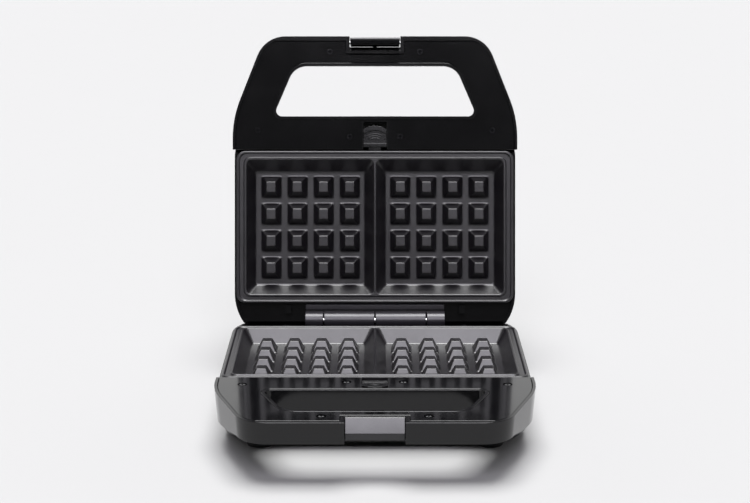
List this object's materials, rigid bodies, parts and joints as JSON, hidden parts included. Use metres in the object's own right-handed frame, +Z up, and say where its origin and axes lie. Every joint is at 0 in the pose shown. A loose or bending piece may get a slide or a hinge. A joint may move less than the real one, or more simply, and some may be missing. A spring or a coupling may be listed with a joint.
{
  "type": "waffle maker",
  "caption": "Electric waffle maker standing open: two hinged halves with removable pyramid plates, slotted carry handles, a spring latch and plate-release buttons.",
  "frame": {"origin": "on the table surface, in the middle of the footprint of the open appliance (lid against its open stop)", "axes": "+X to the right seen from the handle side, +Y to the hinge and back, +Z up"},
  "size_m": [0.2354, 0.3178, 0.2763],
  "materials": {
    "moulded_plastic": "fine satin texture, black",
    "gloss_plastic": "glossy, black",
    "clip_plastic": "satin, black",
    "button_plastic": "satin, dark grey",
    "keeper_insert": "satin, grey",
    "nonstick_cast": "non-stick coating on cast aluminium, satin",
    "aluminised_steel": "rolled sheet",
    "element_sheath": "oxidised tube",
    "grey_hinge": "satin, dark grey",
    "bright_pin": "polished",
    "zinc_screws": "black zinc",
    "spring_steel": "drawn wire",
    "rubber": "moulded, matt",
    "white_nylon": "moulded",
    "red_lens": "clear tinted",
    "green_lens": "clear tinted"
  },
  "bodies": {
    "base": {"lower_housing": "moulded_plastic", "lower_handle_plate": "gloss_plastic", "lower_handle_screws": "zinc_screws", "lower_waffle_plate": "nonstick_cast", "lower_heat_tray": "aluminised_steel", "lower_tray_screws": "zinc_screws", "lower_heating_element": "element_sheath", "lower_element_saddles": "aluminised_steel", "lower_hinge_leaf": "grey_hinge", "lower_hinge_screws": "zinc_screws", "lower_plate_hooks": "moulded_plastic", "lower_button_guide": "moulded_plastic", "lower_button_spring": "spring_steel", "hinge_pin": "bright_pin", "latch_keeper": "keeper_insert", "keeper_screws": "zinc_screws", "feet": "rubber", "foot_screws": "zinc_screws", "cord_bush": "rubber", "terminal_block": "white_nylon"},
    "lid": {"upper_housing": "moulded_plastic", "upper_handle_plate": "gloss_plastic", "upper_handle_screws": "zinc_screws", "upper_waffle_plate": "nonstick_cast", "upper_heat_tray": "aluminised_steel", "upper_tray_screws": "zinc_screws", "upper_heating_element": "element_sheath", "upper_element_saddles": "aluminised_steel", "upper_hinge_leaf": "grey_hinge", "upper_hinge_screws": "zinc_screws", "upper_plate_hooks": "moulded_plastic", "upper_button_guide": "moulded_plastic", "upper_button_spring": "spring_steel", "latch_pin": "bright_pin", "latch_spring": "spring_steel", "thermostat": "white_nylon", "thermal_fuse": "bright_pin", "power_lens": "red_lens", "ready_lens": "green_lens"},
    "latch": {"latch_clip": "clip_plastic"},
    "upper_button": {"upper_release_button": "button_plastic"},
    "lower_button": {"lower_release_button": "button_plastic"}
  },
  "joints": [
    {"name": "lid_hinge", "type": "hinge", "parent": "base", "child": "lid", "pos_m": [0, 0.07593, 0.048], "axis": [1, 0, 0], "range_deg": [0, 104.6]},
    {"name": "latch_pivot", "type": "hinge", "parent": "lid", "child": "latch", "pos_m": [0, 0.14073, 0.269], "axis": [-1, 0, 0], "range_deg": [0, 8], "stiffness_Nm_per_rad": 0.15, "springref_deg": -5.73, "deforming": ["latch_spring"]},
    {"name": "upper_button_slide", "type": "slide", "parent": "lid", "child": "upper_button", "axis": [0, 0.2521, 0.9677], "range_m": [0, 0.0026], "stiffness_N_per_m": 200, "springref_m": -0.004, "deforming": ["upper_button_spring"]},
    {"name": "lower_button_slide", "type": "slide", "parent": "base", "child": "lower_button", "axis": [0, -1, 0], "range_m": [0, 0.0026], "stiffness_N_per_m": 200, "springref_m": -0.004, "deforming": ["lower_button_spring"]}
  ]
}
